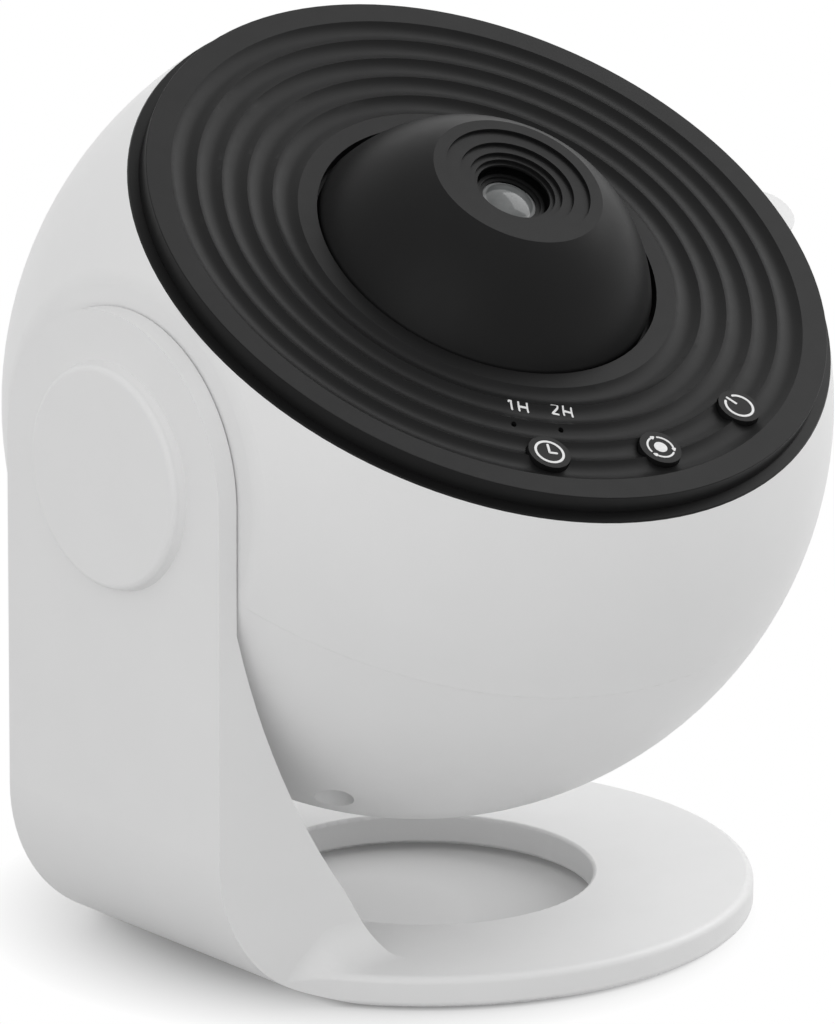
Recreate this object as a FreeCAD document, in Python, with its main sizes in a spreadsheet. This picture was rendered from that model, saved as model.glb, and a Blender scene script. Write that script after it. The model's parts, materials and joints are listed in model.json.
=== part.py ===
import FreeCAD, Part
import os
import re
import Sketcher

# Home planetarium projector: a ball head on a one-armed stand. The head holds a lamp, a turning
# star disc on a drawer, and a lens behind a focus ring set in a rippled panel.
#
# Row frame: millimetres, +Z up, -Y the front, origin on the table under the middle of the object.
# The ball's centre is on the tilt axis, which runs along X. Head pieces are drawn in the head's own
# frame: origin at the ball's centre, z along the lens axis, y up the panel, x along the tilt axis.

SIZES = {
    # Place of the ball in the row frame, and the head's lean at rest
    "ball_x": -1.05,
    "ball_z": 83.0,
    "head_lean": 30,
    # Ball shells, the gaps between parts, and the depths of cuts that go right through
    "ball_radius": 65,
    "shell_wall": 2.4,
    "clearance": 0.1,
    "pilot_gap": 0.02,
    "root": 0.3,
    "wall_cut": 4,
    "deep_cut": 10,
    "seam_half": 0.01,
    "rim_height": 30.1,
    "facet_x": -57.5,
    "facet_radius": 30.0,
    "facet_round": 5.0,
    "hub_hole_radius": 13.1,
    "slot_half": 27.25,
    "slot_floor": 23.8,
    "slot_roof": 27.2,
    "slot_depth": 24,
    "vent_level": -50,
    "vent_inner": 9,
    "vent_outer": 21,
    "vent_width": 2.2,
    "vent_count": 12,
    # Bezel ring and rippled panel
    "bezel_edge": 30.4,
    "bezel_shoulder": 55.95,
    "bezel_ledge": 52.4,
    "skirt_radius": 54.3,
    "skirt_foot": 27.6,
    "panel_radius": 55.75,
    "panel_top": 33.6,
    "panel_inner_top": 32.9,
    "panel_under": 30.6,
    "panel_round": 0.15,
    "spigot_radius": 52.3,
    "spigot_thick": 1.0,
    "spigot_foot": 29.6,
    "panel_opening": 27.8,
    "ripple_inner": 30.9,
    "ripple_pitch": 4.15,
    "ripple_count": 5,
    "ripple_depth": 0.7,
    "small_boss": 2.5,
    "pilot_depth": 6,
    # Push buttons, their switches and the timer lights
    "button_circle": 46.5,
    "button_angle": 24.5,
    "button_radius": 3.4,
    "button_hole": 3.5,
    "button_top": 33.8,
    "button_flange": 4.3,
    "button_foot": 29.9,
    "plunger_radius": 1.7,
    "plunger_dip": 1.2,
    "switch_top": 29.2,
    "switch_side": 6.2,
    "board_top": 26.2,
    "board_thick": 1.6,
    "key_board_inner": 38.7,
    "key_board_outer": 51.1,
    "key_board_end": 32.5,
    "light_circle": 40.1,
    "light_angle": 24.75,
    "light_spread": 5.55,
    "light_radius": 0.42,
    "light_sunk": 0.6,
    # Focus ring
    "dome_base": 27.2,
    "dome_foot": 32.4,
    "dome_top": 47.3,
    "dome_curve": 29.0,
    "plateau_radius": 13.8,
    "dome_inner_foot": 31.6,
    "dome_inner_base": 25.0,
    "dome_inner_top": 12.9,
    "dome_inner_curve": 26.5,
    "lip_radius": 29.0,
    "lip_top": 30.2,
    "ring_foot": 29.0,
    "step_one": 11.8,
    "step_two": 9.3,
    "step_three": 7.6,
    "step_four": 6.6,
    "step_drop": 0.53,
    "throat_radius": 5.95,
    "helicoid_radius": 9.0,
    "helicoid_top": 44.8,
    "helicoid_foot": 34.7,
    "helicoid_wall": 2.0,
    # Lens carriage
    "running_gap": 0.05,
    "barrel_foot": 31.0,
    "barrel_top": 42.5,
    "barrel_bore": 7.5,
    "barrel_flange": 12.0,
    "flange_thick": 1.3,
    "front_seat": 39.6,
    "rear_seat": 35.6,
    "seat_reach": 1.3,
    "lens_radius": 7.4,
    "lens_edge": 0.4,
    "front_curve": 8.8,
    "rear_curve": 20,
    "lens_nose": 5.6,
    "lens_nose_top": 43.6,
    "lens_nose_step": 0.35,
    "lens_nose_inner": 5.0,
    "lens_opening": 4.4,
    "keeper_radius": 6.6,
    "keeper_slope": 0.65,
    "key_half": 1.0,
    "key_inner": 10.6,
    "key_outer": 12.4,
    # Lens guide plate and disc guide
    "guide_under": 27.3,
    "guide_top": 28.7,
    "guide_radius": 39.0,
    "guide_bore": 9.6,
    "guide_screw_circle": 36.3,
    "guide_floor": 21.7,
    "guide_floor_top": 23.3,
    "rail_inner": 27.15,
    "rail_outer": 30.4,
    "rail_back": -41.0,
    "rail_front": 45.0,
    "runner_top": 23.85,
    "runner_width": 1.4,
    "leg_radius": 2.6,
    "leg_x": 14.0,
    "leg_y": 27.5,
    "leg_pilot": 5.2,
    # Disc drawer, star disc and its drive
    "tray_floor": 24.0,
    "tray_top": 27.0,
    "tray_half": 27.0,
    "tray_back": -14.0,
    "tray_face": 59.1,
    "tab_radius": 5.0,
    "tab_reach": 65.5,
    "tab_floor": 24.6,
    "tab_top": 26.7,
    "fork_half": 20.0,
    "disc_bed": 24.6,
    "disc_pocket": 25.0,
    "disc_lip": 22.4,
    "gear_module": 0.8,
    "disc_teeth": 60,
    "pinion_teeth": 12,
    "disc_floor": 24.75,
    "disc_top": 26.5,
    "film_window": 19.0,
    "film_radius": 20.55,
    "film_floor": 25.55,
    "film_thick": 0.2,
    "pressure_angle": 20,
    "tooth_above": 1.2,
    "tooth_below": 1.25,
    "tooth_slack": 0.1,
    "shaft_radius": 1.0,
    "shaft_dip": 3.0,
    "shaft_proud": 0.4,
    "nose_radius": 2.5,
    "nose_high": 0.9,
    "motor_radius": 8.0,
    "motor_foot": 8.0,
    # Lamp
    "tube_radius": 20.0,
    "tube_bore": 18.0,
    "tube_top": 21.5,
    "tube_flange": 24.0,
    "tube_flange_high": 1.6,
    "tube_screw_circle": 22.0,
    "condenser_ledge": 15.6,
    "condenser_curve": 32.4,
    "condenser_floor": 13.0,
    "condenser_edge": 2.0,
    "lamp_board_radius": 10.0,
    "lamp_base_half": 2.5,
    "lamp_base_high": 0.9,
    "lamp_dome": 2.2,
    "sink_radius": 17.0,
    "sink_top": -3.0,
    "sink_base": 2.6,
    "sink_foot": -24.0,
    "fin_thick": 1.2,
    "fin_count": 7,
    "fin_margin": 2.0,
    "sink_screw_x": 13.5,
    "sink_screw_y": 2.5,
    # Chassis, and the screws of the shells and of everything small
    "chassis_radius": 62.2,
    "chassis_half": 1.2,
    "hub_notch_x": -39.5,
    "hub_notch_half": 20,
    "facet_notch_half": 31,
    "well_circle": 52.8,
    "well_angle": 37,
    "well_radius": 3.0,
    "boss_radius": 4.5,
    "boss_high": 12.6,
    "boss_foot": -30,
    "rib_foot": -13,
    "rib_reach": 63.2,
    "rib_half": 1.0,
    "well_floor": -5.0,
    "screw_radius": 1.5,
    "screw_head": 2.7,
    "screw_head_high": 2.0,
    "screw_tip": 10,
    "small_screw": 1.0,
    "small_head": 1.7,
    "small_head_high": 1.2,
    "driver_half": 0.25,
    # Main board and power inlet
    "main_board_half": 24.0,
    "main_board_near": 21.0,
    "main_board_far": 46.0,
    "main_board_top": -8.0,
    "board_corner_x": 19.0,
    "board_corner_in": 3.0,
    "chip_high": 1.2,
    "inlet_lean": 120,
    "inlet_width": 9.0,
    "inlet_height": 3.3,
    "inlet_depth": 7.4,
    "inlet_sunk": 0.9,
    "inlet_rim_width": 14.4,
    "inlet_rim_height": 7.2,
    "inlet_wall": 0.3,
    "inlet_back": 0.8,
    "tongue_width": 6.2,
    "tongue_thick": 0.7,
    "tongue_short": 1.6,
    "inlet_board_half": 7.5,
    "inlet_board_reach": 9.0,
    "inlet_board_short": 2.6,
    "inlet_shelf": 52,
    "inlet_shelf_high": 2.0,
    "slot_bulge": 1.05,
    # Stand, in the frame of the ball's centre without the lean
    "arm_outer": -61.3,
    "arm_inner": -57.7,
    "arm_half": 25.8,
    "bend_radius": 26.0,
    "stand_under": -82.1,
    "base_top": -77.1,
    "base_radius": 52.2,
    "base_x": 1.6,
    "base_bore": 26.8,
    "gusset_start": -20.6,
    "gusset_end_x": -29.5,
    "gusset_radius": 135,
    "gusset_foot_x": -36.2,
    "gusset_foot_z": -66.0,
    "gusset_side_round": 6.0,
    "gusset_foot_round": 2.0,
    "blend_radius": 9.0,
    "rim_round": 1.2,
    "under_round": 1.0,
    "bore_round": 0.6,
    "arm_inner_round": 0.25,
    "hollow_radius": 65.7,
    "axle_radius": 9.0,
    "axle_tip": -47.5,
    "cap_radius": 18.0,
    "cap_face": -63.4,
    "cap_edge": 1.0,
    "cap_draft": 0.4,
    "cap_wall": 1.2,
    "plug_wall": 1.6,
    "plug_depth": 1.1,
    "recess_radius": 16.6,
    "recess_floor": -59.9,
    "hub_flange": 17.0,
    "hub_flange_thick": 2.0,
    "bolt_radius": 2.0,
    "bolt_head": 3.6,
    "bolt_head_high": 1.6,
    "bolt_proud": 6.4,
    "bolt_washer": 5.2,
    "bolt_washer_thick": 0.4,
    "friction_washer": 12.4,
    "friction_gap": 0.3,
    "friction_thick": 0.8,
    "spring_outer": 8.0,
    "spring_inner": 2.3,
    "spring_rise": 1.2,
    "spring_thick": 0.5,
    "nut_corner": 4.04,
    "nut_high": 3.2,
    "feet_circle": 41.0,
    "foot_radius": 4.6,
    "foot_under": -83.0,
    "foot_sunk": 0.6,
    "stand_cut": 70,
}

doc = FreeCAD.newDocument("PlanetariumProjector")
sheet = doc.addObject("Spreadsheet::Sheet", "Sizes")
for row, (alias, number) in enumerate(SIZES.items(), start=1):
    sheet.set(f"A{row}", alias)
    sheet.set(f"B{row}", str(number))
    sheet.setAlias(f"B{row}", alias)
doc.recompute()

nodes = []


def linked(expression):
    """The expression with each size's name pointed at its cell of the sheet."""
    def cell(match):
        word = match.group(0)
        return "Sizes." + word if word in SIZES else word
    return re.sub(r"[a-z][a-z_]+", cell, str(expression))


def size(expression):
    """The present value of an expression of sizes."""
    return float(sheet.evalExpression(linked(expression)))


HEAD = FreeCAD.Placement(FreeCAD.Vector(size("ball_x"), 0, size("ball_z")),
                         FreeCAD.Rotation(FreeCAD.Vector(1, 0, 0), size("head_lean")))
STAND = FreeCAD.Placement(FreeCAD.Vector(size("ball_x"), 0, size("ball_z")), FreeCAD.Rotation())
# The inlet leans over from the lens axis, so that it looks level to the back at rest
INLET_TURN = FreeCAD.Placement(FreeCAD.Vector(0, 0, 0),
                               FreeCAD.Rotation(FreeCAD.Vector(1, 0, 0), -size("inlet_lean")))
INLET = HEAD.multiply(INLET_TURN)


def new_body(name, placement):
    """An empty body that becomes the node of that name."""
    body = doc.addObject("PartDesign::Body", name)
    body.Label = name
    body.Placement = placement
    nodes.append(body)
    return body


def sketch_on(body, plane, level="0"):
    """An empty sketch on one of the body's own planes, moved along its normal by level. The plane
    called Inlet is XY leant over to face the way the plug leaves."""
    sketch = body.newObject("Sketcher::SketchObject", "Sketch")
    role = "XY_Plane" if plane == "Inlet" else plane + "_Plane"
    origin_plane = next(f for f in body.Origin.OriginFeatures if f.Role == role)
    sketch.AttachmentSupport = [(origin_plane, "")]
    sketch.MapMode = "FlatFace"
    if plane == "Inlet":
        sketch.AttachmentOffset = INLET_TURN
        sketch.setExpression("AttachmentOffset.Base.y", linked(f"({level}) * sin(inlet_lean)"))
        sketch.setExpression("AttachmentOffset.Base.z", linked(f"({level}) * cos(inlet_lean)"))
    else:
        sketch.setExpression("AttachmentOffset.Base.z", linked(level))
    return sketch


def pin_point(sketch, edge, end, x, y):
    """Hold one point of an edge at expressions x, y."""
    for kind, axis, expression in (("DistanceX", -2, x), ("DistanceY", -1, y)):
        if abs(size(expression)) < 1e-9:
            sketch.addConstraint(Sketcher.Constraint("PointOnObject", edge, end, axis))
            continue
        held = sketch.addConstraint(Sketcher.Constraint(kind, -1, 1, edge, end, size(expression)))
        sketch.setExpression(f"Constraints[{held}]", linked(expression))


def draw_outline(sketch, corners):
    """A closed outline. A corner is (x, y), or (x, y, radius) where the edge that leaves it is an
    arc: its centre is to the left of the way along for a positive radius, to the right for a
    negative one."""
    up = FreeCAD.Vector(0, 0, 1)
    points = [FreeCAD.Vector(size(c[0]), size(c[1]), 0) for c in corners]
    starts = []
    ends = []
    for i, corner in enumerate(corners):
        here = points[i]
        there = points[(i + 1) % len(points)]
        if len(corner) == 2:
            edge = sketch.addGeometry(Part.LineSegment(here, there))
            starts.append((edge, 1))
            ends.append((edge, 2))
            continue
        signed = size(corner[2])
        radius = abs(signed)
        chord = there - here
        rise = max(radius ** 2 - (chord.Length / 2) ** 2, 0) ** 0.5
        left = up.cross(chord).normalize()
        centre = (here + there) / 2 + left * (rise if signed > 0 else -rise)
        first, last = (here, there) if signed > 0 else (there, here)
        circle = Part.Circle(centre, up, radius)
        arc = Part.ArcOfCircle(circle, circle.parameter(first), circle.parameter(last))
        edge = sketch.addGeometry(arc)
        starts.append((edge, 1 if signed > 0 else 2))
        ends.append((edge, 2 if signed > 0 else 1))
        held = sketch.addConstraint(Sketcher.Constraint("Radius", edge, radius))
        sketch.setExpression(f"Constraints[{held}]", linked(f"abs({corner[2]})"))
    for i, corner in enumerate(corners):
        before = ends[i - 1]
        sketch.addConstraint(Sketcher.Constraint("Coincident", *before, *starts[i]))
        pin_point(sketch, *starts[i], corner[0], corner[1])


def draw_circle(sketch, x, y, radius):
    """A full circle with its centre and radius held by expressions."""
    centre = FreeCAD.Vector(size(x), size(y), 0)
    edge = sketch.addGeometry(Part.Circle(centre, FreeCAD.Vector(0, 0, 1), size(radius)))
    pin_point(sketch, edge, 3, x, y)
    held = sketch.addConstraint(Sketcher.Constraint("Radius", edge, size(radius)))
    sketch.setExpression(f"Constraints[{held}]", linked(radius))


def draw_box(sketch, x0, y0, x1, y1):
    """A rectangle between two corners."""
    draw_outline(sketch, [(x0, y0), (x1, y0), (x1, y1), (x0, y1)])


def polar(radius, angle, aside="0"):
    """Expressions of the point at a radius and an angle in degrees, moved sideways by aside."""
    return (f"({radius}) * cos({angle}) - ({aside}) * sin({angle})",
            f"({radius}) * sin({angle}) + ({aside}) * cos({angle})")


def draw_spoke(sketch, inner, outer, half, angle):
    """A rectangle that runs outwards along a ray from the origin."""
    draw_outline(sketch, [polar(inner, angle, f"-({half})"), polar(outer, angle, f"-({half})"),
                          polar(outer, angle, half), polar(inner, angle, half)])


def turn(body, corners, plane="XZ", about="V_Axis", cut=False):
    """Turn an outline round an axis of its sketch: a Revolution, or a Groove if it cuts."""
    sketch = sketch_on(body, plane)
    draw_outline(sketch, corners)
    feature = body.newObject("PartDesign::Groove" if cut else "PartDesign::Revolution", "Turned")
    feature.Profile = sketch
    feature.ReferenceAxis = (sketch, [about])
    feature.Angle = 360
    doc.recompute()
    return feature


def pad(body, plane, level, length, *drawings):
    """Pad drawings, each (function, arguments...), from level along the plane's normal."""
    return extrude(body, "PartDesign::Pad", plane, level, length, drawings)


def pocket(body, plane, level, depth, *drawings):
    """Cut drawings from level against the plane's normal."""
    before = body.Shape.Volume
    feature = extrude(body, "PartDesign::Pocket", plane, level, depth, drawings)
    if body.Shape.Volume >= before - 1e-6:
        raise RuntimeError(body.Label + ": a pocket cuts nothing")
    return feature


def extrude(body, kind, plane, level, length, drawings):
    sketch = sketch_on(body, plane, level)
    for draw, *arguments in drawings:
        draw(sketch, *arguments)
    feature = body.newObject(kind, "Extruded")
    feature.Profile = sketch
    feature.setExpression("Length", linked(length))
    doc.recompute()
    return feature


def polar_copies(body, feature, count):
    """Repeat a feature round the body's Z axis."""
    pattern = body.newObject("PartDesign::PolarPattern", "Copies")
    pattern.Originals = [feature]
    z_axis = next(f for f in body.Origin.OriginFeatures if f.Role == "Z_Axis")
    pattern.Axis = (z_axis, [""])
    pattern.Angle = 360
    pattern.setExpression("Occurrences", linked(count))
    body.Tip = pattern
    doc.recompute()
    return pattern


def round_edges(body, radius, *points):
    """Fillet the edges that pass through the given points, and those they run on into."""
    base = body.Tip
    marks = [Part.Vertex(*[size(value) for value in point]) for point in points]
    names = [f"Edge{i}" for i, edge in enumerate(base.Shape.Edges, start=1)
             if any(edge.distToShape(mark)[0] < 0.01 for mark in marks)]
    fillet = body.newObject("PartDesign::Fillet", "Rounded")
    fillet.Base = (base, names)
    fillet.setExpression("Radius", linked(radius))
    body.Tip = fillet
    doc.recompute()
    return fillet


def ring_outline(inner, outer, low, high):
    """Corners of a plain ring's section, in radius and height."""
    return [(inner, low), (outer, low), (outer, high), (inner, high)]


# ---- Ball shells ------------------------------------------------------------------------------

INNER = "(ball_radius - shell_wall)"
WELL_ANGLES = ["well_angle - 90", "-90 - well_angle", "90 - well_angle", "90 + well_angle"]


def at_radius(radius, height):
    """Distance from the axis of a point on a sphere of that radius at a height."""
    return f"sqrt(({radius})^2 - ({height})^2)"


def facet_half(side):
    """Outline of half the round facet, in y and z, with its half of the hub hole."""
    edge = f"{side} * seam_half"
    outer_y = at_radius("facet_radius", "seam_half")
    hole_y = at_radius("hub_hole_radius", "seam_half")
    outward, inward = ("", "-") if side > 0 else ("-", "")
    return [(outer_y, edge, outward + "facet_radius"), (f"-{outer_y}", edge),
            (f"-{hole_y}", edge, inward + "hub_hole_radius"), (hole_y, edge)]


def flatten_facet(body, side):
    """Close the ball's -X side with a flat round facet and cut off what stands beyond it."""
    pad(body, "YZ", "facet_x", "shell_wall", (draw_outline, facet_half(side)))
    pocket(body, "YZ", "facet_x", "deep_cut", (draw_circle, "0", "0", "ball_radius"))
    # Edge rounded over by an arc that touches the facet and the ball
    arc_x = "(facet_x + facet_round)"
    arc_y = at_radius("ball_radius - facet_round", arc_x)
    grown = "ball_radius / (ball_radius - facet_round)"
    turn(body, [("facet_x", arc_y, "-facet_round"), (f"{arc_x} * {grown}", f"{arc_y} * {grown}"),
                ("facet_x - 2", f"{arc_y} * {grown} + 1"), ("facet_x - 2", arc_y)],
         plane="XY", about="H_Axis", cut=True)


def make_front_shell():
    """Upper part of the ball, from the seam to the bezel, with the drawer's slot."""
    body = new_body("front_shell", HEAD)
    turn(body, [(at_radius("ball_radius", "seam_half"), "seam_half", "ball_radius"),
                (at_radius("ball_radius", "rim_height"), "rim_height"),
                (at_radius(INNER, "rim_height"), "rim_height", f"-{INNER}"),
                (at_radius(INNER, "seam_half"), "seam_half")])
    for angle in WELL_ANGLES:
        pad(body, "XY", "chassis_half + clearance", "boss_high",
            (draw_spoke, "well_circle", "rib_reach", "rib_half", angle))
        pad(body, "XY", "chassis_half + clearance", "boss_high",
            (draw_circle, *polar("well_circle", angle), "boss_radius"))
    pocket(body, "XY", "screw_tip + 1.5", "screw_tip + 1.5",
           *[(draw_circle, *polar("well_circle", angle), "screw_radius + pilot_gap")
             for angle in WELL_ANGLES])
    flatten_facet(body, 1)
    pocket(body, "YZ", "ball_radius + 2", "slot_depth",
           (draw_box, "-slot_half", "slot_floor", "slot_half", "slot_roof"))


def make_rear_shell():
    """Lower part of the ball, with the screw wells, the vent slots and the inlet's window."""
    body = new_body("rear_shell", HEAD)
    turn(body, [("0", "-ball_radius", "ball_radius"),
                (at_radius("ball_radius", "seam_half"), "-seam_half"),
                (at_radius(INNER, "seam_half"), "-seam_half", f"-{INNER}"),
                ("0", f"-{INNER}")])
    for angle in WELL_ANGLES:
        pad(body, "XY", "boss_foot", "-boss_foot - chassis_half - clearance",
            (draw_circle, *polar("well_circle", angle), "boss_radius"))
        pad(body, "XY", "rib_foot", "-rib_foot - chassis_half - clearance",
            (draw_spoke, "well_circle", "rib_reach", "rib_half", angle))
    for angle in WELL_ANGLES:
        spot = polar("well_circle", angle)
        pocket(body, "XY", "well_floor", "ball_radius", (draw_circle, *spot, "well_radius"))
        pocket(body, "XY", "0", "deep_cut", (draw_circle, *spot, "screw_radius + clearance"))
    flatten_facet(body, -1)
    shelf_top = "-inlet_height / 2 - board_thick"
    pad(body, "Inlet", "inlet_shelf", "ball_radius - shell_wall / 2 - inlet_shelf",
        (draw_box, "-inlet_board_half", f"{shelf_top} - inlet_shelf_high",
         "inlet_board_half", shelf_top))
    pocket(body, "Inlet", "ball_radius + 1", "1 + inlet_sunk",
           (draw_slot, "inlet_rim_width / 2", "inlet_rim_height / 2"))
    pocket(body, "Inlet", "ball_radius + 1", "wall_cut + 2",
           (draw_slot, "inlet_width / 2 + clearance", "inlet_height / 2 + clearance"))
    slot = pocket(body, "XY", "vent_level", "2 * deep_cut",
                  (draw_box, "vent_inner", "-vent_width / 2", "vent_outer", "vent_width / 2"))
    polar_copies(body, slot, "vent_count")


# ---- Bezel ring and rippled panel ----------------------------------------------------------------

BUTTON_ANGLES = {"timer": "-90 - button_angle", "rotate": "-90", "power": "-90 + button_angle"}
LIGHT_ANGLES = ["-90 - light_angle - light_spread", "-90 - light_angle + light_spread"]
GUIDE_ANGLES = ["65", "115", "-65", "-115"]
BOARD_SCREW_ANGLES = ["-90 - button_angle / 2", "-90 + button_angle / 2"]
PILOT = "small_screw + pilot_gap"
SCREW_HOLE = "small_screw + clearance"


def make_bezel_ring():
    """Ring that sits in the shell's rim, slopes up from it and carries the panel's edge."""
    body = new_body("bezel_ring", HEAD)
    turn(body, [(at_radius("ball_radius", "rim_height"), "rim_height", "ball_radius"),
                (at_radius("ball_radius", "bezel_edge"), "bezel_edge"),
                ("bezel_shoulder", "panel_under"),
                ("bezel_ledge", "panel_under"), ("bezel_ledge", "skirt_foot"),
                ("skirt_radius", "skirt_foot"), ("skirt_radius", "rim_height")])


def make_panel():
    """Black top panel: scalloped rings round the opening, with a spigot that centres it in the
    bezel and bosses on its underside."""
    body = new_body("ripple_panel", HEAD)
    scallop = "(((ripple_pitch / 2)^2 + ripple_depth^2) / (2 * ripple_depth))"
    spigot_bore = "spigot_radius - spigot_thick"
    corners = [("panel_opening", "panel_under"), (spigot_bore, "panel_under"),
               (spigot_bore, "spigot_foot"), ("spigot_radius", "spigot_foot"),
               ("spigot_radius", "panel_under"), ("panel_radius", "panel_under"),
               ("panel_radius", "panel_top - panel_round", "panel_round"),
               ("panel_radius - panel_round", "panel_top")]
    for i in range(SIZES["ripple_count"], 0, -1):
        crest = f"ripple_inner + {i} * ripple_pitch"
        level = f"panel_inner_top + (panel_top - panel_inner_top) * {i} / ripple_count"
        corners.append((crest, level, f"-{scallop}"))
    corners += [("ripple_inner", "panel_inner_top"), ("panel_opening", "panel_inner_top")]
    turn(body, corners)
    for angle in GUIDE_ANGLES:
        pad(body, "XY", "guide_top", "panel_under - guide_top + root",
            (draw_circle, *polar("guide_screw_circle", angle), "small_boss"))
    for angle in BOARD_SCREW_ANGLES:
        pad(body, "XY", "board_top", "panel_under - board_top + root",
            (draw_circle, *polar("button_circle", angle), "small_boss"))
    holes = [(draw_circle, *polar("button_circle", angle), "button_hole")
             for angle in BUTTON_ANGLES.values()]
    holes += [(draw_circle, *polar("light_circle", angle), "light_radius + pilot_gap")
              for angle in LIGHT_ANGLES]
    pocket(body, "XY", "panel_top + 1", "wall_cut", *holes)
    pilots = [(draw_circle, *polar("guide_screw_circle", angle), PILOT) for angle in GUIDE_ANGLES]
    pilots += [(draw_circle, *polar("button_circle", angle), PILOT)
               for angle in BOARD_SCREW_ANGLES]
    pocket(body, "XY", "panel_under", "pilot_depth", *pilots)


# ---- Push buttons ---------------------------------------------------------------------------------

def make_button(name, angle):
    """Round key cap: it rises through the panel, is held by a flange and stands on its plunger."""
    spot = polar("button_circle", angle)
    body = new_body(name + "_button", HEAD)
    pad(body, "XY", "button_foot", "button_top - button_foot", (draw_circle, *spot, "button_radius"))
    pad(body, "XY", "button_foot", "panel_under - button_foot - clearance",
        (draw_circle, *spot, "button_flange"))
    plunger = new_body(name + "_plunger", HEAD)
    pad(plunger, "XY", "switch_top - plunger_dip", "button_foot - switch_top + plunger_dip",
        (draw_circle, *spot, "plunger_radius"))


def make_tact_switches():
    """Three square switch housings on the key board, each with a well for its plunger."""
    body = new_body("tact_switches", HEAD)
    half = "switch_side / 2"
    squares = [(draw_spoke, f"button_circle - {half}", f"button_circle + {half}", half, angle)
               for angle in BUTTON_ANGLES.values()]
    pad(body, "XY", "board_top", "switch_top - board_top", *squares)
    wells = [(draw_circle, *polar("button_circle", angle), "plunger_radius + running_gap")
             for angle in BUTTON_ANGLES.values()]
    pocket(body, "XY", "switch_top", "plunger_dip + 1", *wells)


def make_key_board():
    """Curved circuit board under the buttons."""
    body = new_body("key_board", HEAD)
    inner, outer = "key_board_inner", "key_board_outer"
    first, last = "-90 - key_board_end", "-90 + key_board_end"
    pad(body, "XY", "board_top - board_thick", "board_thick",
        (draw_outline, [(*polar(outer, first), outer), polar(outer, last),
                        (*polar(inner, last), "-" + inner), polar(inner, first)]))
    holes = [(draw_circle, *polar("button_circle", angle), SCREW_HOLE)
             for angle in BOARD_SCREW_ANGLES]
    pocket(body, "XY", "board_top + 1", "wall_cut", *holes)


def make_screws(name, spots, seat, tip, kind="small_"):
    """Like screws driven upwards: a head under the seat's height with a cross recess, and a plain
    shank to the tip. The kind picks the sizes: small_ for the small ones, or none."""
    shank = "small_screw" if kind else "screw_radius"
    head = "small_head" if kind else "screw_head"
    high = head + "_high"
    body = new_body(name, HEAD)
    pad(body, "XY", f"{seat} - {high}", high, *[(draw_circle, *spot, head) for spot in spots])
    pad(body, "XY", f"{seat} - {high} / 2", f"({tip}) - ({seat}) + {high} / 2",
        *[(draw_circle, *spot, shank) for spot in spots])
    along = [(draw_box, f"{x} - driver_half", f"{y} - {head} / 2",
              f"{x} + driver_half", f"{y} + {head} / 2") for x, y in spots]
    across = [(draw_box, f"{x} - {head} / 2", f"{y} - driver_half",
               f"{x} + {head} / 2", f"{y} + driver_half") for x, y in spots]
    for drawings in (along, across):
        pocket(body, "XY", f"{seat} - {high} * 0.6", high, *drawings)


def make_light_pipes():
    """Clear pins that carry the timer lights from the key board to the panel's face."""
    body = new_body("light_pipes", HEAD)
    pad(body, "XY", "board_top", "panel_inner_top - light_sunk - board_top",
        *[(draw_circle, *polar("light_circle", angle), "light_radius") for angle in LIGHT_ANGLES])


# ---- Focus ring and lens carriage -----------------------------------------------------------------

def make_focus_ring():
    """Dome with a stepped mouth: a skirt and lip under the panel, and the helicoid tube inside."""
    body = new_body("focus_ring", HEAD)
    helicoid_outer = "helicoid_radius + helicoid_wall"
    corners = [("dome_base", "ring_foot"), ("lip_radius", "ring_foot"), ("lip_radius", "lip_top"),
               ("dome_base", "lip_top"), ("dome_base", "dome_foot", "dome_curve"),
               ("plateau_radius", "dome_top")]
    for i, step in enumerate(["step_one", "step_two", "step_three", "step_four"]):
        corners += [(step, f"dome_top - {i} * step_drop"), (step, f"dome_top - {i + 1} * step_drop")]
    corners += [("throat_radius", "dome_top - 4 * step_drop"), ("throat_radius", "helicoid_top"),
                ("helicoid_radius", "helicoid_top"), ("helicoid_radius", "helicoid_foot"),
                (helicoid_outer, "helicoid_foot"), (helicoid_outer, "helicoid_top"),
                ("dome_inner_top", "helicoid_top", "-dome_inner_curve"),
                ("dome_inner_base", "dome_inner_foot"), ("dome_inner_base", "ring_foot")]
    turn(body, corners)


def key_bars(inner, outer, half):
    """Drawings of two bars, before and behind the axis, that key the lens barrel to its guide."""
    return [(draw_box, f"-({half})", inner, half, outer),
            (draw_box, f"-({half})", f"-({outer})", half, f"-({inner})")]


def make_lens_barrel():
    """Tube that slides in the helicoid, with a notched flange and a seat for each lens."""
    body = new_body("lens_barrel", HEAD)
    outer = "helicoid_radius - running_gap"
    flange_top = "barrel_foot + flange_thick"
    turn(body, [("barrel_bore", "barrel_foot"), ("barrel_flange", "barrel_foot"),
                ("barrel_flange", flange_top), (outer, flange_top), (outer, "barrel_top"),
                ("barrel_bore", "barrel_top"), ("barrel_bore", "front_seat"),
                ("barrel_bore - seat_reach", "front_seat"),
                ("barrel_bore - seat_reach", "rear_seat"), ("barrel_bore", "rear_seat")])
    pocket(body, "XY", f"{flange_top} + 1", "wall_cut",
           *key_bars("key_inner - clearance", "barrel_flange + 1", "key_half + clearance"))


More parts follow.
